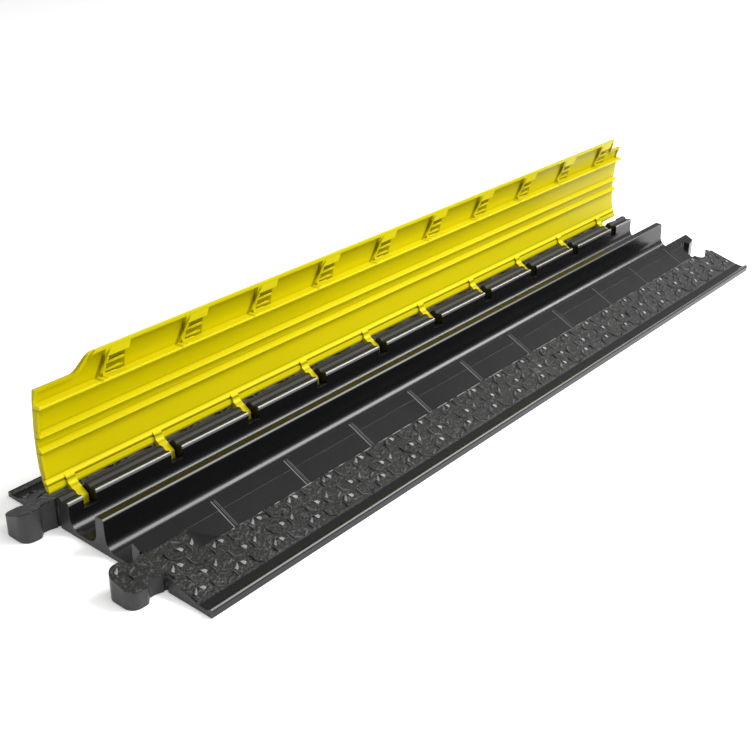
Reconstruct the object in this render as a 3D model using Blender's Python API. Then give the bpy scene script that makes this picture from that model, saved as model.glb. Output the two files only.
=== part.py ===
"""Floor cord cover: a black two-channel ramp base with a yellow hinged lid, standing open.

X runs along the cover, Y from the front edge to the back edge, Z up; the floor is Z = 0, and the
origin lies on it under the middle of the body.
"""
import math

import bmesh
import bpy
from mathutils import Matrix, Vector

# Driving dimensions, in metres
MM = 0.001
LENGTH = 914.4 * MM            # base body, without the connectors
WIDTH = 254.4 * MM
DIVIDER_Y = 127.4 * MM         # middle of the divider between the two channels
CHANNEL_FLOOR = 4.4 * MM
LEDGE_BACK = 88.0 * MM         # crest of the ledge, the front wall of the front channel
LEDGE_CREST = 27.2 * MM
LEDGE_SLOPE = 0.47             # rise per unit of Y on the smooth ledge
TREAD_FOOT = (16.0 * MM, 5.5 * MM)            # where the front ramp leaves its lip (Y, Z)
TREAD_SLOPE = 0.268            # rise per unit of Y on the front ramp
TREAD_STEP_Y = 56.0 * MM       # where the raised ramp meets the ledge
TREAD_WIDE_Y = 75.0 * MM       # the same, in the wider stretch at the near end
WIDE_START, WIDE_END = 40.0 * MM, 64.0 * MM   # the S-curve between the two
GROOVE_FIRST, GROOVE_PITCH, GROOVE_COUNT = 81.3 * MM, 85.4 * MM, 10
GROOVE_WIDTH, GROOVE_DEPTH = 3.0 * MM, 1.2 * MM

AXIS_Y, AXIS_Z = 180.6 * MM, 20.0 * MM        # hinge axis
WALL_FRONT = 167.5 * MM        # front face of the hinge wall
SLOT_FIRST, SLOT_PITCH, SLOT_COUNT = 15.5 * MM, 94.1 * MM, 10
SLOT_WIDTH, SLOT_RADIUS, SLOT_SILL, SLOT_BACK = 13.0 * MM, 8.2 * MM, 17.4 * MM, 191.0 * MM
BAR_RADIUS, BORE_RADIUS, KNUCKLE_RADIUS = 1.6 * MM, 2.1 * MM, 4.0 * MM
FINGER_INSET, FINGER_WIDTH = 2.8 * MM, 8.8 * MM

CONNECTOR_Y = (64.0 * MM, 196.0 * MM)
CONNECTOR_REACH = 34.6 * MM
HEAD_HALF, NECK_HALF, ROOT_HALF = 15.6 * MM, 10.4 * MM, 12.5 * MM
SOCKET_GAP = 0.8 * MM

LID_START, LID_END = 0.6 * MM, 913.8 * MM
LID_OPEN_DEG = 96.0            # how far the lid stands back from closed
LID_FRONT, LID_CORNER = 61.4 * MM, 77.0 * MM  # front edge of the closed lid, and at its cut-down corners
CORNER_START, CORNER_END = 36.0 * MM, 58.0 * MM     # S-curve of the near corner
FAR_START, FAR_END = 885.0 * MM, 892.0 * MM         # step of the far corner
CLEAR = 0.5 * MM               # between the closed lid and what it lies over
SKIN, EDGE_SKIN, RIM = 3.8 * MM, 1.4 * MM, 3.2 * MM
FLANGE_Y, FLANGE_TIP, FLANGE_WIDTH = 91.2 * MM, 20.6 * MM, 3.0 * MM   # flange that hangs behind the ledge
END_RIM, END_RIM_WIDTH = 2.6 * MM, 2.2 * MM      # low rim across the near end
GUSSET_FIRST, GUSSET_PITCH, GUSSET_COUNT = 69.0 * MM, 87.6 * MM, 10
GUSSET_WALL, PAD_LENGTH, PAD_END = 3.0 * MM, 25.8 * MM, 72.8 * MM
RUNGS = ((78.4 * MM, 80.4 * MM, 23.0 * MM), (85.8 * MM, 87.8 * MM, 21.2 * MM))     # from Y, to Y, length

# Sizes along X and Y are counted from the front corner of the near end; this moves the middle to the origin
MIDDLE = Vector((-LENGTH / 2, -WIDTH / 2, 0.0))

# Outer face of the closed lid, front edge to heel (Y, Z in millimetres)
LID_CROWN = [(61.4, 19.0), (62.2, 20.8), (64.2, 22.2), (68.0, 23.8), (75.0, 26.1), (82.0, 28.4), (88.0, 30.2),
             (96.0, 31.9), (104.8, 33.8), (113.6, 35.7), (122.0, 36.9), (130.9, 37.7), (137.0, 38.3),
             (143.5, 38.6), (149.5, 38.6), (155.2, 38.3), (160.0, 37.7), (163.8, 36.9), (167.9, 35.7),
             (171.0, 34.2), (172.8, 32.6)]


def reset_scene():
    for item in list(bpy.data.objects):
        bpy.data.objects.remove(item, do_unlink=True)


def new_collection(name):
    made = bpy.data.collections.new(name)
    bpy.context.scene.collection.children.link(made)
    return made


def make_material(name, colour, roughness, metallic=0.0):
    made = bpy.data.materials.new(name)
    made.use_nodes = True
    shader = made.node_tree.nodes["Principled BSDF"]
    shader.inputs["Base Color"].default_value = (*colour, 1.0)
    shader.inputs["Roughness"].default_value = roughness
    shader.inputs["Metallic"].default_value = metallic
    return made


def mm(points):
    return [(a * MM, b * MM) for a, b in points]


def arc(centre, radius, start, end, steps):
    """Points on a circle from start to end, in degrees."""
    return [(centre[0] + radius * math.cos(math.radians(start + (end - start) * i / steps)),
             centre[1] + radius * math.sin(math.radians(start + (end - start) * i / steps)))
            for i in range(steps + 1)]


def s_curve(x0, y0, x1, y1, steps=10):
    """A smooth step from (x0, y0) to (x1, y1), level at both ends."""
    return [(x0 + (x1 - x0) * i / steps, y0 + (y1 - y0) * (1 - math.cos(math.pi * i / steps)) / 2)
            for i in range(steps + 1)]


def on_line(points, at):
    """Height of a polyline at one place along it."""
    for (a, za), (b, zb) in zip(points, points[1:]):
        if a <= at <= b:
            return za + (zb - za) * (at - a) / (b - a)
    return points[0][1] if at < points[0][0] else points[-1][1]


def prism(name, outlines, low, high, collection, across=False, cutter=True):
    """Flat outlines extruded from low to high: along Z, or along X when the outlines lie across."""
    curve = bpy.data.curves.new(name + "_outline", "CURVE")
    curve.dimensions = "2D"
    curve.fill_mode = "BOTH"
    curve.extrude = (high - low) / 2
    for outline in outlines:
        spline = curve.splines.new("POLY")
        spline.points.add(len(outline) - 1)
        for point, (u, v) in zip(spline.points, outline):
            point.co = (u, v, 0.0, 1.0)
        spline.use_cyclic_u = True
    flat = bpy.data.objects.new(name + "_flat", curve)
    collection.objects.link(flat)
    middle = (low + high) / 2
    flat.location = (middle, 0.0, 0.0) if across else (0.0, 0.0, middle)
    flat.rotation_euler = (math.pi / 2, 0.0, math.pi / 2) if across else (0.0, 0.0, 0.0)
    bpy.context.view_layer.update()
    evaluated = flat.evaluated_get(bpy.context.evaluated_depsgraph_get())
    mesh = bpy.data.meshes.new_from_object(evaluated)
    mesh.transform(flat.matrix_world)
    bpy.data.objects.remove(flat, do_unlink=True)
    work = bmesh.new()
    work.from_mesh(mesh)
    bmesh.ops.remove_doubles(work, verts=work.verts, dist=0.00001)
    bmesh.ops.recalc_face_normals(work, faces=work.faces)
    work.to_mesh(mesh)
    work.free()
    mesh.name = name
    solid = bpy.data.objects.new(name, mesh)
    collection.objects.link(solid)
    if cutter:
        solid.hide_render = True
        solid.display_type = "WIRE"
    return solid


def shear(solid, slope):
    """Raises each point by slope times its Y, so a flat plan outline follows a sloping face."""
    lift = Matrix.Identity(4)
    lift[2][1] = slope
    solid.data.transform(lift)
    return solid


def combine(target, other, operation):
    """One exact Boolean, applied at once; the other solid is then done with."""
    step = target.modifiers.new(operation.title(), "BOOLEAN")
    step.operation = operation
    step.object = other
    step.solver = "EXACT"
    bpy.context.view_layer.update()
    evaluated = target.evaluated_get(bpy.context.evaluated_depsgraph_get())
    result = bpy.data.meshes.new_from_object(evaluated)
    target.modifiers.remove(step)
    target.data = result
    bpy.data.objects.remove(other, do_unlink=True)
    return target


def box_outline(x0, x1, y0, y1):
    return [(x0, y0), (x1, y0), (x1, y1), (x0, y1)]


def base_section():
    """Section across the base, from the back bottom corner over the top to the front one.

    It starts a little below the floor; the underside is trimmed flat once everything is joined.
    """
    front_wall = LEDGE_BACK / MM + 0.6
    divider = DIVIDER_Y / MM
    floor = CHANNEL_FLOOR / MM
    wall = WALL_FRONT / MM
    step = TREAD_WIDE_Y / MM
    back_ramp = [(254.4, -1.0), (254.4, 4.6), (253.2, 5.6), (251.4, 5.4), (249.0, 3.4), (241.0, 3.6),
                 (199.0, 19.8), (186.5, 25.0), (183.6, 27.0), (182.4, 29.6), (181.0, 30.4)]
    wall_top = [(178.2, 30.4), (177.0, 29.8), (175.6, 28.0), (172.4, 28.0), (171.2, 29.1), (168.6, 29.1),
                (wall, 28.2)]
    back_channel = arc((wall - 12.0, floor + 12.0), 12.0, 0, -90, 8) + \
        arc((divider + 5.6 + 12.0, floor + 12.0), 12.0, -90, -180, 8)
    divider_top = [(divider + 5.0, 28.0), (divider + 4.7, 31.6), (divider + 3.8, 32.8), (divider - 3.8, 32.8),
                   (divider - 4.7, 31.6), (divider - 5.0, 28.0)]
    front_channel = arc((divider - 5.6 - 11.0, floor + 11.0), 11.0, 0, -90, 8) + \
        arc((front_wall + 5.0, floor + 5.0), 5.0, -90, -180, 5)
    crest = [(front_wall - 0.2, 26.2), (front_wall - 0.9, 26.9), (LEDGE_BACK / MM - 2.4, 26.0)]
    ramp = [(step, 21.3), (16.0, 5.5), (11.0, 4.6), (6.0, 4.6), (3.4, 6.6), (2.0, 7.0), (0.8, 6.6), (0.0, 5.4)]
    return mm(back_ramp + wall_top + back_channel + divider_top + front_channel + crest + ramp + [(0.0, -1.0)])


def ledge_height(y):
    return LEDGE_CREST - LEDGE_SLOPE * (LEDGE_BACK - y)


def tread_height(y):
    return TREAD_FOOT[1] + TREAD_SLOPE * (y - TREAD_FOOT[0])


def connector_outline(centre, grow=0.0, root=0.0):
    """Plan of one dog-bone connector: flared root, narrow neck, rounded head. X counts outwards."""
    reach = CONNECTOR_REACH + grow
    head, neck, foot = HEAD_HALF + grow, NECK_HALF + grow, ROOT_HALF + grow
    corner = 9.5 * MM
    side = [(-root, foot), (2.0 * MM, foot)]
    side += [(2.0 * MM + 7.0 * MM * math.sin(t), neck + (foot - neck) * (1 - math.sin(t)))
             for t in (math.radians(a) for a in (30, 60, 90))]
    side += [(13.5 * MM - grow, neck)]
    side += arc((20.5 * MM - grow, head - 4.5 * MM), 4.5 * MM, 150, 90, 4)
    side += arc((reach - corner, head - corner), corner, 90, 0, 7)
    return [(x, centre - y) for x, y in side] + [(x, centre + y) for x, y in reversed(side)]


def cut_ledge(base, cutters):
    """Smooth ledge: the ramp is cut down to it everywhere but in the wider stretch at the near end."""
    edge = s_curve(WIDE_START, TREAD_WIDE_Y + 1.5 * MM, WIDE_END, TREAD_STEP_Y)
    plan = edge + [(LENGTH + 5 * MM, TREAD_STEP_Y), (LENGTH + 5 * MM, TREAD_WIDE_Y + 1.5 * MM)]
    lift = ledge_height(0.0)
    combine(base, shear(prism("ledge_cut", [plan], lift, lift + 30 * MM, cutters), LEDGE_SLOPE), "DIFFERENCE")

    # Narrow grooves across it
    grooves = []
    for k in range(GROOVE_COUNT):
        x = GROOVE_FIRST + k * GROOVE_PITCH
        grooves.append(box_outline(x, x + GROOVE_WIDTH, TREAD_STEP_Y + 0.3 * MM, LEDGE_BACK - 1.6 * MM))
    cut = prism("groove_cut", grooves, lift - GROOVE_DEPTH, lift + 20 * MM, cutters)
    combine(base, shear(cut, LEDGE_SLOPE), "DIFFERENCE")


def add_connectors(base, cutters):
    """Dog-bone connectors at the near end, their tops sloping with the ramps."""
    front_top = mm([(30.0, -4.0), (100.0, -4.0), (100.0, 33.9), (75.0, 22.4), (30.0, 10.4)])
    back_top = mm([(160.0, -4.0), (230.0, -4.0), (230.0, 9.5), (199.4, 21.7), (176.0, 30.6), (160.0, 30.6)])
    for centre, top in zip(CONNECTOR_Y, (front_top, back_top)):
        outline = [(-x, y) for x, y in connector_outline(centre, root=3 * MM)]
        bone = prism("connector", [outline], -0.5 * MM, 40 * MM, cutters)
        roof = prism("connector_top", [top], -60 * MM, 20 * MM, cutters, across=True)
        combine(bone, roof, "INTERSECT")
        combine(base, bone, "UNION")
        for side in (-1, 1):
            notch = arc((0.0, centre + side * (ROOT_HALF + 1.2 * MM)), 1.7 * MM, 0, 360, 12)[:-1]
            combine(base, prism("notch", [notch], -5 * MM, 50 * MM, cutters), "DIFFERENCE")


def cut_slots(base, cutters):
    """Finger slots through the top of the hinge wall, each crossed by a round bar on the hinge axis."""
    axis = (AXIS_Y, AXIS_Z)
    mouth = [(WALL_FRONT - 3 * MM, SLOT_SILL)] + arc(axis, SLOT_RADIUS, 198.5, 350, 16)
    mouth += [(SLOT_BACK, 21.5 * MM), (SLOT_BACK, 36 * MM), (WALL_FRONT - 3 * MM, 36 * MM)]
    circle = arc(axis, BAR_RADIUS, 0, 360, 12)[:-1]
    starts = [SLOT_FIRST + k * SLOT_PITCH for k in range(SLOT_COUNT)]
    for x in starts:
        combine(base, prism("slot_cut", [mouth], x, x + SLOT_WIDTH, cutters, across=True), "DIFFERENCE")
    for x in starts:
        bar = prism("bar", [circle], x - 2 * MM, x + SLOT_WIDTH + 2 * MM, cutters, across=True)
        combine(base, bar, "UNION")


def build_base(parts, cutters, material):
    base = prism("base", [base_section()], 0.0, LENGTH, parts, across=True, cutter=False)
    cut_ledge(base, cutters)
    add_connectors(base, cutters)
    cut_slots(base, cutters)

    # Sockets of the connectors' outline at the far end, then the flat underside
    for centre in CONNECTOR_Y:
        outline = [(LENGTH - x, y) for x, y in connector_outline(centre, grow=SOCKET_GAP, root=5 * MM)]
        combine(base, prism("socket", [outline], -5 * MM, 50 * MM, cutters), "DIFFERENCE")
    under = prism("underside", [box_outline(-60 * MM, LENGTH + 10 * MM, -10 * MM, WIDTH + 10 * MM)],
                  -9 * MM, 0.0, cutters)
    combine(base, under, "DIFFERENCE")
    base.location = MIDDLE
    base.data.materials.clear()
    base.data.materials.append(material)
    return base


def lid_outer(y):
    return on_line(mm(LID_CROWN), y)


def below(offset, y0, y1, steps):
    """Line that follows the crown at an offset below it, from y0 to y1."""
    return [(y, lid_outer(y) - offset) for y in (y0 + (y1 - y0) * i / steps for i in range(steps + 1))]


def front_line(inset, start, end):
    """Plan of the lid's front edge, set in: low corner, S-curve, straight run, low corner at the far end."""
    low, high = LID_CORNER + inset, LID_FRONT + inset
    rise = s_curve(CORNER_START + inset / 2, low, CORNER_END + inset / 2, high)
    drop = s_curve(FAR_START - inset / 2, high, FAR_END - inset / 2, low, 6)
    return [(start, low)] + rise + drop + [(end, low)]


def front_zone(parts, cutters):
    """Front stretch of the closed lid: it lies just over the ledge, and its flange hangs behind the ledge."""
    back = FLANGE_Y + FLANGE_WIDTH
    tip = FLANGE_TIP
    zone = [p for p in mm(LID_CROWN) if p[0] < back] + [(back, lid_outer(back))]
    zone += [(back, tip + 0.8 * MM), (back - 0.8 * MM, tip), (FLANGE_Y + 0.6 * MM, tip),
             (FLANGE_Y, tip + 0.6 * MM)]
    zone += [(FLANGE_Y, LEDGE_CREST + CLEAR), (LEDGE_BACK, LEDGE_CREST + CLEAR)]
    zone += [(LID_FRONT, ledge_height(LID_FRONT) + CLEAR)]
    lid = prism("lid", [zone], LID_START, LID_END, parts, across=True, cutter=False)

    # Front edge in plan, and the relief over the raised ramp beside the S-curve
    low, high = LID_START - 9 * MM, LID_END + 9 * MM
    outside = front_line(0.0, low, high) + [(high, 40 * MM), (low, 40 * MM)]
    combine(lid, prism("lid_front", [outside], -10 * MM, 80 * MM, cutters), "DIFFERENCE")
    ramp = [(low, TREAD_WIDE_Y + 3 * MM)] + s_curve(WIDE_START + 1 * MM, TREAD_WIDE_Y + 3 * MM,
                                                     WIDE_END + 1 * MM, TREAD_STEP_Y + 0.6 * MM)
    ramp += [(WIDE_END + 1 * MM, 40 * MM), (low, 40 * MM)]
    relief = prism("lid_relief", [ramp], -40 * MM, tread_height(0.0) + CLEAR, cutters)
    combine(lid, shear(relief, TREAD_SLOPE), "DIFFERENCE")
    return lid


def gusset_outline(x):
    """Plan of one gusset: a wall, the pad behind the rim and two rungs to its right."""
    inside = x + GUSSET_WALL
    outline = [(x, LID_FRONT), (x + PAD_LENGTH, LID_FRONT), (x + PAD_LENGTH, PAD_END), (inside, PAD_END)]
    for y0, y1, length in RUNGS:
        outline += [(inside, y0), (x + length, y0), (x + length, y1), (inside, y1)]
    return outline + [(inside, FLANGE_Y + 1 * MM), (x, FLANGE_Y + 1 * MM)]


def cut_bays(lid, cutters):
    """Hollows the front zone behind its rim, all but the gussets."""
    first, last, back = LID_START + RIM, LID_END - RIM, FLANGE_Y + 0.3 * MM
    plan = front_line(RIM, first, last) + [(last, back), (first, back)]
    bays = prism("lid_bays", [plan], -5 * MM, 80 * MM, cutters)
    near, far = LID_FRONT + 1 * MM, back + 1 * MM
    hollow = below(EDGE_SKIN, near, far, 12) + [(far, 0.0), (near, 0.0)]
    floor = prism("lid_bay_floor", [hollow], first - 1 * MM, last + 1 * MM, cutters, across=True)
    combine(bays, floor, "INTERSECT")
    gussets = [gusset_outline(GUSSET_FIRST + k * GUSSET_PITCH) for k in range(GUSSET_COUNT)]
    combine(bays, prism("gussets", gussets, -9 * MM, 90 * MM, cutters), "DIFFERENCE")
    combine(lid, bays, "DIFFERENCE")


def lid_ribs():
    """Sections of the two ribs that straddle the divider, each with its tip away from the front."""
    ribs = []
    for tip, height in ((120.4, 28.4), (134.2, 29.8)):
        root = lid_outer(tip * MM) / MM - SKIN / MM + 0.6
        ribs.append(mm([(tip - 3.6, root), (tip - 0.7, height + 0.6), (tip, height), (tip + 0.6, height),
                        (tip + 1.0, height + 0.6), (tip + 1.5, root)]))
    return ribs


def add_skin(lid, cutters):
    """Skin from the flange to the heel, with the rib pair, the beads at the heel and the near end's rim."""
    front = FLANGE_Y + FLANGE_WIDTH - 0.5 * MM
    skin = [(front, lid_outer(front))] + [p for p in mm(LID_CROWN) if p[0] > front]
    skin += mm([(172.6, 31.6), (171.4, 30.9), (166.8, 30.9), (166.0, 32.2), (165.4, 33.2), (164.9, 32.4),
                (164.3, 31.7), (163.3, 31.8), (162.2, 33.0), (160.0, 34.0)])
    skin += list(reversed(below(SKIN, front, 157.0 * MM, 12)))
    combine(lid, prism("lid_skin", [skin], LID_START, LID_END, cutters, across=True), "UNION")
    combine(lid, prism("lid_ribs", lid_ribs(), LID_START, LID_END, cutters, across=True), "UNION")
    rims = []
    for y0, y1 in ((93.0 * MM, 119.0 * MM), (134.6 * MM, 158.0 * MM)):
        rims.append(below(SKIN - 1 * MM, y0, y1, 8) + list(reversed(below(SKIN + END_RIM, y0, y1, 8))))
    rim = prism("lid_end", rims, LID_START, LID_START + END_RIM_WIDTH, cutters, across=True)
    combine(lid, rim, "UNION")


def add_fingers(lid, cutters):
    """Fingers from a boss at the heel to a knuckle round each bar, drawn as the closed lid holds them."""
    axis = (AXIS_Y, AXIS_Z)
    outline = mm([(161.6, 34.2), (162.6, 31.4), (164.4, 29.9), (168.6, 28.9), (171.6, 25.8)])
    outline += arc(axis, KNUCKLE_RADIUS, 215, 290, 6)
    outline += mm([(186.6, 16.4), (187.9, 18.0), (187.2, 20.2)]) + arc(axis, KNUCKLE_RADIUS, 20, 95, 6)
    outline += mm([(176.6, 26.6), (173.6, 30.0), (172.0, 32.0), (170.0, 33.0)])
    bore = arc(axis, BORE_RADIUS, 0, 360, 12)[:-1]
    for k in range(SLOT_COUNT):
        x = SLOT_FIRST + k * SLOT_PITCH + FINGER_INSET
        finger = prism("finger", [outline], x, x + FINGER_WIDTH, cutters, across=True)
        combine(finger, prism("bore", [bore], x - 1 * MM, x + FINGER_WIDTH + 1 * MM, cutters, across=True),
                "DIFFERENCE")
        combine(lid, finger, "UNION")


def build_lid(parts, cutters, material):
    lid = front_zone(parts, cutters)
    cut_bays(lid, cutters)
    add_skin(lid, cutters)
    add_fingers(lid, cutters)

    # The lid's origin lies on the hinge axis, and the lid is turned back to where it stands
    axis = Vector((0.0, AXIS_Y, AXIS_Z))
    lid.data.transform(Matrix.Translation(-axis))
    lid.location = MIDDLE + axis
    lid.rotation_euler = (-math.radians(LID_OPEN_DEG), 0.0, 0.0)
    lid.data.materials.clear()
    lid.data.materials.append(material)
    return lid


def main():
    reset_scene()
    parts = new_collection("floor_cord_cover")
    cutters = new_collection("cutters")
    black = make_material("black_moulding", (0.012, 0.012, 0.013), 0.42)
    yellow = make_material("yellow_moulding", (0.62, 0.54, 0.0), 0.38)
    base = build_base(parts, cutters, black)
    lid = build_lid(parts, cutters, yellow)
    for item in (base, lid):
        item.data.set_sharp_from_angle(angle=math.radians(30))
    bpy.context.view_layer.update()


main()
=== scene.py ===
import math

import bmesh
import bpy
import numpy as np
from mathutils import Matrix, Vector


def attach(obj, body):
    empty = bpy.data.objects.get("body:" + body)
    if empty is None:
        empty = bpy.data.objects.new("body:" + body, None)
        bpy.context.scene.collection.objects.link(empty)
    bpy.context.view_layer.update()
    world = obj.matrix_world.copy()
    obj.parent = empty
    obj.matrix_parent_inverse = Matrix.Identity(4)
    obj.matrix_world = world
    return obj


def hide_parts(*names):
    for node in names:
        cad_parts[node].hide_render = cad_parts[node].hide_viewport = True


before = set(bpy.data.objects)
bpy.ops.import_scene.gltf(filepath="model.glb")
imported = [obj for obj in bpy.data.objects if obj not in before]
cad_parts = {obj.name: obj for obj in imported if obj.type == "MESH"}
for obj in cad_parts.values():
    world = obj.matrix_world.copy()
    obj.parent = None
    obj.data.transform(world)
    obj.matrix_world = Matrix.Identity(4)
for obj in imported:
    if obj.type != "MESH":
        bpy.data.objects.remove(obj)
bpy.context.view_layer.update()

mm = 0.001
corner = np.array([-457.2, -127.2, 0.0])   # near front corner of the body; places below count from it, in mm
bodyLength = 914.4

# sloping surfaces that run straight across the cover: height in mm, rise per mm and the Y of that height
slopes = {
    "frontRamp": (5.5, 0.268, 16.0),
    "backRamp": (19.8, -0.3857, 199.0),
    "frontConnector": (10.4, 0.2667, 30.0),
    "backConnector": (40.5, -0.38, 150.0),
    # of the lid as it lies shut
    "behindRim": (27.7, 0.47, 88.0),
    "lowCrown": (26.1, 0.32, 75.0),
    "middleCrown": (31.9, 0.216, 96.0),
    "highCrown": (35.7, 0.111, 113.6),
}
flatBehindRim = 27.7           # height where the surface behind the rim turns level
crownTop = 38.8                # height where the crown turns level


def heightOn(slope, y):
    # straight line: the height at its own Y plus the rise times the way from there
    height, rise, startY = slopes[slope]
    return height + rise * (y - startY)


# shader maths: a value is one socket, and arithmetic on it adds Math nodes
class Value:
    def __init__(self, finish, socket):
        self.finish = finish
        self.socket = socket

    def maths(self, operation, other, swapped=False, clamp=False):
        first, second = (other, self) if swapped else (self, other)
        return self.finish.node("Math", {"operation": operation, "use_clamp": clamp}, {0: first, 1: second})

    def __add__(self, other):
        return self.maths("ADD", other)

    def __radd__(self, other):
        return self.maths("ADD", other, True)

    def __sub__(self, other):
        return self.maths("SUBTRACT", other)

    def __rsub__(self, other):
        return self.maths("SUBTRACT", other, True)

    def __mul__(self, other):
        return self.maths("MULTIPLY", other)

    def __rmul__(self, other):
        return self.maths("MULTIPLY", other, True)

    def __truediv__(self, other):
        return self.maths("DIVIDE", other)

    def __rtruediv__(self, other):
        return self.maths("DIVIDE", other, True)

    def rising(self, edge, width):
        # 0 below the edge and 1 above it, over a soft band of that width
        return self.maths("SUBTRACT", edge - width / 2).maths("DIVIDE", width, clamp=True)

    def within(self, low, high, width):
        # 1 between low and high and 0 outside them
        return self.rising(low, width) * (1 - self.rising(high, width))

    def alongRepeat(self, first, pitch, before):
        # place along a repeating pattern, 0 at each start and counted from a little before it
        return ((self - first + before) / pitch).maths("FRACT", 0.0) * pitch - before


# a finish is one material; node() makes any node from its type, its settings and its sockets' values or links
class Finish:
    def __init__(self, name):
        self.material = bpy.data.materials.new(name)
        self.material.use_nodes = True
        self.tree = self.material.node_tree
        self.shader = self.tree.nodes["Principled BSDF"]

    def join(self, given, target):
        if isinstance(given, Value):
            self.tree.links.new(given.socket, target)
        else:
            target.default_value = given

    def node(self, kind, settings, sockets, output=0):
        made = self.tree.nodes.new("ShaderNode" + kind)
        for key, given in settings.items():
            setattr(made, key, given)
        for key, given in sockets.items():
            self.join(given, made.inputs[key])
        return Value(self, made.outputs[output])

    def set(self, **given):
        for key, value in given.items():
            self.join(value, self.shader.inputs[key.replace("_", " ")])

    def place(self):
        return self.node("TexCoord", {}, {}, "Object")

    def axes(self):
        split = self.tree.nodes.new("ShaderNodeSeparateXYZ")
        self.join(self.place(), split.inputs[0])
        # millimetres from the near front corner
        return [Value(self, split.outputs[i]) * (1 / mm) - float(corner[i]) for i in range(3)]

    def stretched(self, scale):
        return self.node("Mapping", {}, {"Vector": self.place(), "Scale": scale})

    def noise(self, scale, detail=3.0, roughness=0.55, place=None):
        return self.node("TexNoise", {}, {"Vector": place or self.place(), "Scale": scale, "Detail": detail,
                                          "Roughness": roughness})

    def mix(self, factor, first, second):
        return self.node("Mix", {"data_type": "RGBA", "blend_type": "MIX"},
                         {0: factor, 6: (*first, 1.0) if isinstance(first, tuple) else first,
                          7: (*second, 1.0) if isinstance(second, tuple) else second}, 2)

    def bump(self, height, distance):
        return self.node("Bump", {}, {"Height": height, "Distance": distance, "Strength": 1.0})


# hinge line of the lid, as Y and Z in mm, and how far the lid stands open
hinge = (180.6, 20.0)
openAngle = math.radians(96.0)


def turnedOpen(points):
    # from the shut lid to the open one: turned back by the opening angle about the hinge line
    opened = np.array(points, float)
    away = opened[..., 1:] - hinge
    opened[..., 1] = hinge[0] + away[..., 0] * math.cos(openAngle) + away[..., 1] * math.sin(openAngle)
    opened[..., 2] = hinge[1] - away[..., 0] * math.sin(openAngle) + away[..., 1] * math.cos(openAngle)
    return opened


def addMesh(name, points, faces, material, body, slot, smooth=False):
    # points in mm from the near front corner
    mesh = bpy.data.meshes.new(name)
    mesh.from_pydata((np.asarray(points) + corner) * mm, [], [list(face) for face in faces])
    mesh.shade_smooth() if smooth else mesh.shade_flat()
    piece = bpy.data.objects.new(name, mesh)
    bpy.context.scene.collection.objects.link(piece)
    mesh.materials.append(material)
    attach(piece, body)


# black moulding of the base; places are in mm from the near front corner
blackLook = {
    "ledgeColour": (0.006, 0.006, 0.0062),
    "channelColour": (0.006, 0.006, 0.0065),
    "endColour": (0.027, 0.027, 0.027),
    "treadColour": (0.004, 0.004, 0.004),
    "treadLight": (0.06, 0.06, 0.058),
    # colour of the painted highlights along edges and grooves
    "edgeHighlightColour": (0.19, 0.19, 0.19),
    "wallTopColour": (0.007, 0.007, 0.006),
    # painted shade inside the grooves of the ledge
    "grooveShadeColour": (0.0005, 0.0005, 0.0005),
    "channelRoughness": 0.24,
    "ledgeRoughness": 0.22,
    "treadRoughness": 0.46,
    "endRoughness": 0.14,                  # this and the next one are added to the ledge's
    "wallTopRoughness": 0.4,
    "roughnessChange": 0.08,
    "grainDepth": 0.0011,
    "smoothGrain": 0.03,                   # share of the grain that the smooth surfaces keep
    "endGrain": 0.3,
    "gloss": 0.33,
    "endSkin": 0.4,
    "channels": (86.8, 167.9),             # Y from and to, as for the next three
    "frontTread": (15.0, 56.0),
    "backTread": (197.0, 247.0),
    # Y band of the painted highlight along the lip
    "lip": (0.6, 1.9),
    "wideStretch": (42.0, 76.0),           # X and Y where it ends
    "wallTop": (170.2, 198.0, 19.0),       # Y from, Y to and the height above which it starts
    "paintedEdgeHighlights": ((122.7, 123.7, 31.0), (167.4, 168.7, 26.0)),     # the same: painted highlights on the top edges of divider and hinge wall
    "dashedHighlightBand": (55.0, 56.0, 64.0),      # painted highlight in dashes: Y from, Y to and the X where it starts
    "grooves": (81.3, 85.4),               # X of the first one and their repeat
    "grooveShadeBand": (-0.1, 2.1),            # painted shade in the groove: X from and to, beside the groove's own; the next one gives the bands of painted highlight beside it the same way
    "grooveHighlightBands": ((-1.3, -0.2), (2.1, 3.4)),
    "groovesAcross": (56.6, 86.2),
    "groovesAlong": (76.0, 860.0),
    "grooveHighlightStrength": 0.7,                     # strength of the painted highlights beside the grooves
    "farHighlightFade": 0.6,                       # how much the painted highlights fade toward the far end
}


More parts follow.
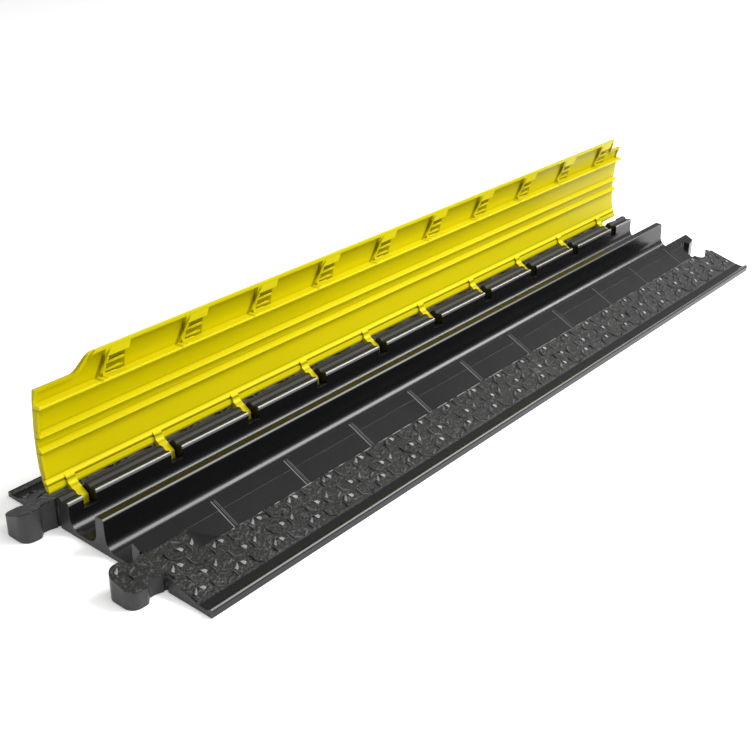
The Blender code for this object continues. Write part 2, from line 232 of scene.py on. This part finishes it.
def blackMoulding():
    look = blackLook
    finish = Finish("blackMoulding")
    x, y, z = finish.axes()
    cloud = finish.noise(26.0, 4.0)
    grain = finish.noise(420.0, 3.0, 0.7)
    speckle = finish.noise(330.0, 3.0, 0.7)

    # where each kind of surface is
    skin = look["endSkin"]
    inside = x.within(skin, bodyLength - skin, skin)
    ends = 1 - inside
    channel = y.within(*look["channels"], 0.8) * inside
    topStart, topEnd, topHeight = look["wallTop"]
    wallTop = y.within(topStart, topEnd, 0.5) * z.rising(topHeight, 1.0) * inside

    # tread: the front ramp with its wide stretch, the back ramp and the tops of the connectors
    wideX, wideY = look["wideStretch"]
    treadStart, treadEnd = look["frontTread"]
    wide = (1 - x.rising(wideX, 10.0)) * (1 - y.rising(wideY, 1.0))
    treaded = (1 - y.rising(treadEnd, 0.6)).maths("MAXIMUM", wide) * y.rising(treadStart, 3.0) * inside
    treaded = treaded.maths("MAXIMUM", y.within(*look["backTread"], 2.0) * inside)
    frontTop = (z - heightOn("frontConnector", y)).rising(-0.6, 0.4) * (1 - y.rising(100.0, 1.0))
    backTop = (z - heightOn("backConnector", y)).rising(-1.2, 0.4) * y.rising(150.0, 1.0)
    treaded = treaded.maths("MAXIMUM", (frontTop + backTop) * (1 - x.rising(-0.5, 0.4)))

    # painted highlights drawn as light edge lines: beside each groove of the ledge, at the top edges of
    # divider and hinge wall, along the lip, and a broken one where tread and ledge meet
    fromGroove = x.alongRepeat(*look["grooves"], 5.0)
    grooved = y.within(*look["groovesAcross"], 0.6) * x.within(*look["groovesAlong"], 1.0)
    highlightBesideGroove = sum((fromGroove.within(low, high, 0.3) for low, high in look["grooveHighlightBands"]), 0.0)
    edges = sum((y.within(low, high, 0.3) * z.rising(top, 0.6)
                 for low, high, top in look["paintedEdgeHighlights"]), 0.0)
    lineStart, lineEnd, lineX = look["dashedHighlightBand"]
    dash = finish.noise(120.0, 1.0).rising(0.52, 0.1)
    dashedHighlight = dash * y.within(lineStart, lineEnd, 0.3) * x.rising(lineX, 1.0)
    edgeHighlights = highlightBesideGroove * grooved * look["grooveHighlightStrength"]
    edgeHighlights = edgeHighlights + (edges + y.within(*look["lip"], 0.5) + dashedHighlight) * inside
    edgeHighlights = (edgeHighlights * (1 - (x / bodyLength).rising(0.6, 0.4) * look["farHighlightFade"])).maths("MINIMUM", 1.0)

    worn = ((speckle - 0.56) * 7.0 + (cloud - 0.5) * 1.2 + 0.2).rising(0.5, 1.0)
    colour = finish.mix(ends, look["ledgeColour"], look["endColour"])
    colour = finish.mix(channel, colour, look["channelColour"])
    colour = finish.mix(treaded, colour, finish.mix(worn, look["treadColour"], look["treadLight"]))
    # painted highlights laid over the colour
    colour = finish.mix(edgeHighlights, colour, look["edgeHighlightColour"])
    # painted shade darkens the grooves of the ledge
    colour = finish.mix(fromGroove.within(*look["grooveShadeBand"], 0.3) * grooved, colour, look["grooveShadeColour"])
    colour = finish.mix(wallTop, colour, look["wallTopColour"])

    ledgeRoughness = look["ledgeRoughness"]
    roughness = ledgeRoughness + look["endRoughness"] * ends + look["wallTopRoughness"] * wallTop
    roughness = roughness + (look["channelRoughness"] - ledgeRoughness) * channel
    roughness = roughness + (look["treadRoughness"] - ledgeRoughness) * treaded
    coarse = treaded.maths("MAXIMUM", ends * look["endGrain"])
    relief = grain * (look["smoothGrain"] + (1 - look["smoothGrain"]) * coarse)
    finish.set(Base_Color=colour,
               Roughness=roughness + (cloud - 0.5) * look["roughnessChange"],
               Normal=finish.bump(relief, look["grainDepth"]))
    finish.set(Specular_IOR_Level=look["gloss"])
    return finish.material


# gussets in the bays of the lid, with the lid drawn as it lies shut and then turned back about its hinge line
gussets = {
    "first": 69.0,                         # X of the first one
    "pitch": 87.6,
    "count": 10,
    "before": 8.0,                         # their repeat is counted from this far before each
    "along": (60.0, 885.0),                # X from and to where they are
    "pockets": (3.0, 24.0, 72.0, 91.0),    # painted shade in the pockets: X from and to, beside the gusset's own, then Y from and to
    "pad": (0.0, 25.8, 64.6, 72.8),        # the same, for the painted highlight on the pad
    "wallShade": (-5.2, -1.6, 66.0, 92.0), # painted shade: X from and to, beside the leaning wall, then Y from and to
}

# their rounded edges: start and end as X beside the gusset's own and Y, then radius
gussetBars = {
    "wall": ((4.6, 72.0), (-2.4, 91.0), 2.4),
    "upperRung": ((3.0, 79.4), (22.0, 78.6), 1.1),
    "lowerRung": ((1.5, 86.8), (19.5, 86.0), 1.1),
    "heel": ((-1.0, 90.6), (15.0, 90.6), 1.0),
}

# yellow moulding of the lid
yellowLook = {
    "colour": (0.50, 0.425, 0.0),
    "deepColour": (0.43, 0.36, 0.0),
    # painted highlight colour for the rib tops and the gusset pad
    "lidHighlightColour": (0.78, 0.70, 0.012),
    "shadeColour": (0.20, 0.17, 0.0),
    "roughness": 0.36,
    "roughnessChange": 0.12,
    "gloss": 0.07,
    "clouding": 0.6,                       # how much of the deep colour the clouds bring
    # strength of the painted shade toward the far end of the lid
    "farShade": 0.36,
    # strength of the painted shade behind the rim
    "bayShadeStrength": 0.4,
    "pocketShade": 0.8,
    # strength of the painted highlight on the gusset pad
    "padHighlight": 0.5,
    "grainDepth": 0.00006,
    "bays": (64.4, 91.2),                  # Y of the rim and of the flange
    "undersideDepth": 0.95,                # depth below the crown where the underside starts
    "wallDepth": 1.9,                      # and where the moulding's wall ends
    # lines of painted shade and painted highlight along the lid as it lies shut: Y from, Y to and how strong
    "shadeLines": ((94.6, 96.4, 0.6), (121.2, 123.0, 0.55), (135.2, 137.0, 0.55), (115.2, 116.6, 0.35),
                   (129.4, 130.4, 0.3), (158.6, 160.2, 0.4), (164.6, 166.2, 0.85), (170.6, 171.6, 0.5)),
    "highlightLines": ((61.0, 64.4, 0.4), (90.6, 94.4, 0.3), (118.2, 121.0, 0.1), (132.0, 134.8, 0.1),
                   (160.6, 163.2, 0.4), (167.4, 170.0, 0.4)),
}


def yellowMoulding():
    look = yellowLook
    finish = Finish("yellowMoulding")
    x, y, z = finish.axes()
    # the place on the shut lid: the open place turned by the opening angle about the hinge line
    awayY, awayZ = y - hinge[0], z - hinge[1]
    shutY = hinge[0] + awayY * math.cos(openAngle) - awayZ * math.sin(openAngle)
    shutZ = hinge[1] + awayY * math.sin(openAngle) + awayZ * math.cos(openAngle)
    cloud = finish.noise(9.0, 4.0)
    streaks = finish.noise(6.0, 5.0, 0.6, finish.stretched((0.35, 6.0, 6.0)))
    grain = finish.noise(1400.0, 2.0)
    # painted highlights along the rib tops and edges of the shut lid
    light = sum((shutY.within(low, high, 1.0) * strength for low, high, strength in look["highlightLines"]), 0.0)
    # painted shade lines below the ribs and in the grooves of the shut lid
    shade = sum((shutY.within(low, high, 0.7) * strength for low, high, strength in look["shadeLines"]), 0.0)

    # depth below the crown of the shut lid, which follows the lowest of three slopes and a level top
    crown = heightOn("lowCrown", shutY).maths("MINIMUM", heightOn("middleCrown", shutY))
    crown = crown.maths("MINIMUM", heightOn("highCrown", shutY)).maths("MINIMUM", crownTop)
    depth = crown - shutZ
    underside = depth.rising(look["undersideDepth"], 0.4)
    beyondWall = depth.rising(look["wallDepth"], 0.4)

    # bays: painted shade behind the rim, fading out toward the flange
    bays = underside * shutY.within(*look["bays"], 0.4) * (1 - beyondWall)
    bayShade = bays * (1 - shutY.rising(79.0, 20.0)) * look["bayShadeStrength"]

    # gussets: painted shade in the pockets between the rungs and on the shaded side of the leaning wall, and
    # a painted highlight on the pad
    along = x.alongRepeat(gussets["first"], gussets["pitch"], gussets["before"])
    span = x.within(*gussets["along"], 2.0)
    lowX, highX, lowY, highY = gussets["pockets"]
    pockets = bays * along.within(lowX, highX, 2.0) * shutY.within(lowY, highY, 1.0) * span
    (wallX, wallY), (endX, endY) = gussetBars["wall"][:2]
    fromWall = along - wallX + (wallX - endX) / (endY - wallY) * (shutY - wallY)
    lowX, highX, lowY, highY = gussets["wallShade"]
    wallShade = underside * fromWall.within(lowX, highX, 1.0) * shutY.within(lowY, highY, 4.0) * span
    lowX, highX, lowY, highY = gussets["pad"]
    pad = underside * along.within(lowX, highX, 0.8) * shutY.within(lowY, highY, 0.8) * span

    # painted highlight: the light lines on the underside and the light pad
    light = light * underside + pad * beyondWall * look["padHighlight"]
    # painted shade: dark lines, shade behind the rim, in the gusset pockets and beside their leaning walls
    shade = shade * underside + bayShade + (pockets + wallShade) * look["pocketShade"]
    clouding = (cloud * 0.6 + streaks * 0.4).rising(0.5, 0.5) * look["clouding"]
    # painted shade: the lid darker toward its far end
    farther = (x / bodyLength).rising(0.75, 0.5)
    colour = finish.mix(clouding, look["colour"], look["deepColour"])
    # painted highlights, then painted shade, mixed over the colour
    colour = finish.mix(light.maths("MINIMUM", 1.0), colour, look["lidHighlightColour"])
    colour = finish.mix(shade.maths("MINIMUM", 1.0), colour, look["shadeColour"])
    colour = finish.mix(farther * look["farShade"], colour, look["shadeColour"])
    finish.set(Base_Color=colour,
               Roughness=look["roughness"] + (streaks - 0.5) * look["roughnessChange"],
               Normal=finish.bump(grain * 0.7 + cloud * 0.3, look["grainDepth"]))
    finish.set(Specular_IOR_Level=look["gloss"])
    return finish.material


# the moulded shapes themselves: each CAD solid with its flat faces whole again and its edges rounded
edgeRounding = {
    "base": 0.7 * mm,                      # width of the rounding on each CAD node
    "lid": 0.45 * mm,
    "segments": 2,
    "mergeWithin": 0.02 * mm,
    "flatWithin": math.radians(0.6),
    "sharpFrom": math.radians(32),
}


def roundedCopy(node, name, material, body):
    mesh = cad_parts[node].data.copy()
    work = bmesh.new()
    work.from_mesh(mesh)
    bmesh.ops.remove_doubles(work, verts=work.verts, dist=edgeRounding["mergeWithin"])
    bmesh.ops.dissolve_limit(work, angle_limit=edgeRounding["flatWithin"],
                             verts=work.verts, edges=work.edges)
    work.to_mesh(mesh)
    work.free()
    mesh.name = name
    mesh.shade_smooth()
    mesh.set_sharp_from_angle(angle=edgeRounding["sharpFrom"])
    mesh.materials.clear()
    mesh.materials.append(material)
    piece = bpy.data.objects.new(name, mesh)
    bpy.context.scene.collection.objects.link(piece)
    rounding = piece.modifiers.new("roundedEdges", "BEVEL")
    rounding.width = edgeRounding[node]
    rounding.segments = edgeRounding["segments"]
    rounding.limit_method = "ANGLE"
    rounding.angle_limit = edgeRounding["sharpFrom"]
    evenShading = piece.modifiers.new("evenShading", "WEIGHTED_NORMAL")
    evenShading.keep_sharp = True
    evenShading.weight = 100
    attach(piece, body)
    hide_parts(node)


# raised marks of the tread: bars and wedges, a pattern that repeats along each row
tread = {
    "pitch": 42.5,
    "height": 1.1,
    "sunk": 0.5,                           # how far the foot of a mark goes below the surface
    "barWidth": 1.7,
    "barTop": 0.4,                         # width of a bar's top, as a share of the bar's
    "drawnIn": 0.4,                        # how much shorter the top is at each end, in mm
    "wedgeTop": 0.25,                      # how far a wedge's top reaches toward its low side
    # rows of each piece: Y of the row, first X and kind of row
    "frontTread": ((50.0, 3.6, 0), (36.8, 33.8, 1), (23.2, 2.0, 0)),
    "wideTread": ((76.6, 4.2, 0), (63.6, 34.0, 1)),
    "connectorTread": ((62.5, -43.0, 0), (73.5, -32.0, 1)),
    "backTread": ((209.5, 3.6, 0), (222.5, 33.8, 1), (235.0, 2.0, 0)),
    # where they are, as X from and to
    "bodySpan": (1.0, bodyLength - 1.0),
    "wideSpan": (1.0, 44.0),
    "connectorSpan": (-32.5, -1.0),
}

# marks of each kind of row, X and Y from the row's start: a bar by its two ends, a wedge by its corners
lowBar = ((0.0, -6.5), (0.0, 0.5))
highBar = ((21.4, -3.2), (21.4, 4.0))
darkBar = ((21.2, -3.4), (27.0, -8.2))
rowBars = (
    (lowBar, highBar, darkBar, ((30.0, -7.2), (37.1, -4.2))),
    (lowBar, highBar, darkBar, ((11.2, -7.0), (18.2, -4.4))),
)
wedges = (
    ((1.3, 0.4), (7.8, 4.4), (6.4, 0.2), (4.0, -2.0)),
    ((9.0, 4.2), (12.2, 3.0), (16.0, 0.2), (12.4, -1.6)),
)
wedgeShift = (((0.0, 0.0), (0.0, 0.0)), ((0.0, -1.2), (22.8, -2.0)))


def barCorners(start, end):
    # foot: the bar's line moved by half its width to either side; top: a narrower line, drawn in at both ends
    start, end = np.array(start), np.array(end)
    along = (end - start) / np.linalg.norm(end - start)
    side = np.array([-along[1], along[0]]) * tread["barWidth"] / 2
    topSide, short = side * tread["barTop"], along * tread["drawnIn"]
    foot = np.array([start - side, end - side, end + side, start + side])
    top = np.array([start - topSide + short, end - topSide - short, end + topSide - short,
                    start + topSide + short])
    return foot, top


def wedgeCorners(corners):
    # top: a ridge above the first two corners, and a short way from there toward the other two
    foot = np.array(corners)
    top = foot.copy()
    top[2] = foot[1] + (foot[2] - foot[1]) * tread["wedgeTop"]
    top[3] = foot[0] + (foot[3] - foot[0]) * tread["wedgeTop"]
    return foot, top


def treadMarks(rows, low, high, slope, within=None):
    # closed boxes between low and high X: corners of foot and top in X and Y, moved along the row by whole
    # repeats, with Z from the slope that carries them
    feet, tops = [], []
    pitch = tread["pitch"]
    for rowY, firstX, kind in rows:
        count = int((high - low) / pitch) + 3
        starts = firstX + pitch * (np.arange(count) - 1 + math.floor(low / pitch))
        shapes = [barCorners(*bar) for bar in rowBars[kind]]
        for wedge, shift in zip(wedges, wedgeShift[kind]):
            shapes.append(wedgeCorners(np.array(wedge) + np.array(shift)))
        for foot, top in shapes:
            keep = (starts + foot[:, 0].min() > low) & (starts + foot[:, 0].max() < high)
            if within:
                keep &= within(starts[:, None] + foot[:, 0], rowY + foot[:, 1]).all(axis=1)
            offset = np.stack([starts[keep], np.full(keep.sum(), rowY)], 1)[:, None, :]
            feet.append(offset + foot)
            tops.append(offset + top)
    foot, top = np.concatenate(feet), np.concatenate(tops)
    points = np.concatenate([np.dstack([foot, heightOn(slope, foot[..., 1]) - tread["sunk"]]),
                             np.dstack([top, heightOn(slope, top[..., 1]) + tread["height"]])], 1)
    box = np.array([[3, 2, 1, 0], [4, 5, 6, 7], [0, 1, 5, 4], [1, 2, 6, 5], [2, 3, 7, 6], [3, 0, 4, 7]])
    faces = (box[None] + 8 * np.arange(len(points))[:, None, None]).reshape(-1, 4)
    # a mark whose corners run the other way round has its faces turned outwards
    flipped = np.cross(foot[:, 1] - foot[:, 0], foot[:, 3] - foot[:, 0]) < 0
    faces.reshape(-1, 6, 4)[flipped] = faces.reshape(-1, 6, 4)[flipped][:, :, ::-1]
    return points.reshape(-1, 3), faces


def onWideStretch(x, y):
    # stays in front of the step where the wide stretch of the ramp ends
    return y < 74.6 - 0.8 * np.maximum(x - 40.0, 0.0)


def onConnector(x, y):
    # the neck is narrow and the head beyond it is wide
    side = np.abs(y - 64.0)
    return (side < 9.4) | ((x < -18.0) & (side < 13.0))


# finish of the marks
markLook = {
    "colour": (0.006, 0.006, 0.006),
    "wornColour": (0.11, 0.11, 0.11),
    "worn": 0.4,                           # share of the worn colour, and how strongly it changes
    "wornChange": 3.0,
    "roughness": 0.36,
    "roughnessChange": 0.2,
    "grainDepth": 0.0001,
}


def treadLook():
    look = markLook
    finish = Finish("treadMarks")
    worn = finish.noise(60.0, 3.0)
    grain = finish.noise(900.0, 2.0)
    wear = (worn - 0.5) * look["wornChange"] + look["worn"]
    finish.set(Base_Color=finish.mix(wear, look["colour"], look["wornColour"]),
               Roughness=look["roughness"] + (worn - 0.5) * look["roughnessChange"],
               Normal=finish.bump(grain, look["grainDepth"]))
    return finish.material


def roundBars(stations=9, sides=12):
    # a bar follows a straight line in X and Y and the surface behind the rim in Z; its section is a circle
    # that narrows at both ends, cut off a little below the crown
    turn = np.linspace(0, 2 * np.pi, sides, endpoint=False)
    reach = np.linspace(0, 1, stations)
    points, faces = [], []
    starts = gussets["first"] + gussets["pitch"] * np.arange(gussets["count"])
    for (startX, startY), (endX, endY), radius in gussetBars.values():
        line = np.stack([startX + (endX - startX) * reach, startY + (endY - startY) * reach], 1)
        along = np.array([endX - startX, endY - startY]) / math.hypot(endX - startX, endY - startY)
        thick = radius * np.sqrt(np.clip(1 - (2 * reach - 1) ** 8, 0.05, 1))[:, None]
        x = line[:, :1] - along[1] * thick * np.cos(turn)
        y = line[:, 1:] + along[0] * thick * np.cos(turn)
        surface = np.minimum(heightOn("behindRim", line[:, 1:]), flatBehindRim)
        z = np.minimum(surface + radius - 0.1 + thick * np.sin(turn), heightOn("lowCrown", y) - 0.8)
        bar = np.stack([x, y, z], 2).reshape(-1, 3)
        ring = np.arange(sides)
        following = (ring + 1) % sides
        first = (np.arange(stations - 1) * sides)[:, None]
        sideFaces = np.stack([first + ring, first + following, first + sides + following,
                              first + sides + ring], 2).reshape(-1, 4)
        for start in starts:
            base = sum(len(block) for block in points)
            points.append(bar + (start, 0, 0))
            faces += (sideFaces + base).tolist() + [(base + ring[::-1]).tolist(),
                                                    (base + (stations - 1) * sides + ring).tolist()]
    return turnedOpen(np.concatenate(points)), faces


black = blackMoulding()
yellow = yellowMoulding()
roundedCopy("base", "baseMoulding", black, "base")
roundedCopy("lid", "lidMoulding", yellow, "lid")
print("mouldings rounded")

addMesh("gussetEdges", *roundBars(), yellow, "lid", "yellow_moulding", smooth=True)
print("gussets rounded")

marks = treadLook()


def layTread(name, span, slope, within=None):
    addMesh(name, *treadMarks(tread[name], *tread[span], slope, within), marks, "base", "black_moulding")


layTread("frontTread", "bodySpan", "frontRamp")
layTread("wideTread", "wideSpan", "frontRamp", onWideStretch)
layTread("backTread", "bodySpan", "backRamp")
layTread("connectorTread", "connectorSpan", "frontConnector", onConnector)
print("tread marks laid")


# studio: floor, lights and the camera at the photo's angle
studio = {
    "floorColour": (0.93, 0.93, 0.93),
    "floorGlow": 0.26,
    "floorReach": 12.0,                   # metres, as for the next one
    "floorDrop": 0.0004,
    "skyStrength": 0.4,
    "eye": (-463.6, -541.3, 558.7),       # mm from the near front corner
    "azimuth": -50.16,
    "elevation": 26.88,
    "roll": 0.55,
    "framePixels": 752.0,
    "focalPixels": 1193.0,
    "middle": (375.4, 375.3),
    "sensor": 36.0,
}
# each lamp: place and target in metres, width and height, and power in watts
lamps = (
    ("longStrip", (2.1, -1.35, 2.0), (2.1, -1.35, 0.0), (3.2, 1.4), 215.0),
    ("overhead", (-0.4, -0.6, 2.4), (0.0, 0.0, 0.0), (1.6, 1.6), 16.0),
    ("frontFill", (0.1, -2.6, 1.3), (0.1, 0.0, 0.05), (1.8, 1.4), 22.0),
)


def aimed(position, target):
    back = (Vector(position) - Vector(target)).normalized()
    turn = back.to_track_quat("Z", "Y").to_matrix().to_4x4()
    return Matrix.Translation(position) @ turn


def buildStudio():
    reach = studio["floorReach"]
    floorMesh = bpy.data.meshes.new("floor")
    corners = [(-reach, -reach, 0), (reach, -reach, 0), (reach, reach, 0), (-reach, reach, 0)]
    floorMesh.from_pydata(corners, [], [(0, 1, 2, 3)])
    floor = bpy.data.objects.new("floor", floorMesh)
    floor.location.z = -studio["floorDrop"]
    bpy.context.scene.collection.objects.link(floor)
    pale = Finish("paleFloor")
    pale.set(Base_Color=(*studio["floorColour"], 1.0), Roughness=0.9, Emission_Strength=studio["floorGlow"])
    pale.set(Emission_Color=(1.0, 1.0, 1.0, 1.0))
    floorMesh.materials.append(pale.material)
    world = bpy.data.worlds.new("sky")
    world.use_nodes = True
    light = world.node_tree.nodes["Background"].inputs
    light["Color"].default_value = (1.0, 1.0, 1.0, 1.0)
    light["Strength"].default_value = studio["skyStrength"]
    bpy.context.scene.world = world
    for name, position, target, (wide, tall), power in lamps:
        lamp = bpy.data.lights.new(name, "AREA")
        lamp.shape = "RECTANGLE"
        lamp.size, lamp.size_y = wide, tall
        lamp.energy = power
        holder = bpy.data.objects.new(name, lamp)
        holder.matrix_world = aimed(position, target)
        bpy.context.scene.collection.objects.link(holder)


def buildCamera():
    # looks along the fitted azimuth and elevation, turned about its own axis by the roll
    azimuth, elevation, roll = (math.radians(studio[key]) for key in ("azimuth", "elevation", "roll"))
    back = Vector((math.sin(azimuth) * math.cos(elevation), -math.cos(azimuth) * math.cos(elevation),
                   math.sin(elevation)))
    right = Vector((math.cos(azimuth), math.sin(azimuth), 0.0))
    up = back.cross(right)
    across = math.cos(roll) * right + math.sin(roll) * up
    upright = -math.sin(roll) * right + math.cos(roll) * up
    lens = bpy.data.cameras.new("photoCamera")
    frameSize = studio["framePixels"]
    lens.sensor_width = studio["sensor"]
    lens.lens = studio["focalPixels"] / frameSize * lens.sensor_width
    lens.shift_x = (frameSize / 2 - studio["middle"][0]) / frameSize
    lens.shift_y = (studio["middle"][1] - frameSize / 2) / frameSize
    lens.clip_end = 50.0
    camera = bpy.data.objects.new("photoCamera", lens)
    turn = Matrix((across, upright, back)).transposed().to_4x4()
    camera.matrix_world = Matrix.Translation((np.array(studio["eye"]) + corner) * mm) @ turn
    bpy.context.scene.collection.objects.link(camera)
    bpy.context.scene.camera = camera


buildStudio()
buildCamera()
bpy.context.scene.view_settings.view_transform = "Standard"
print("studio ready")
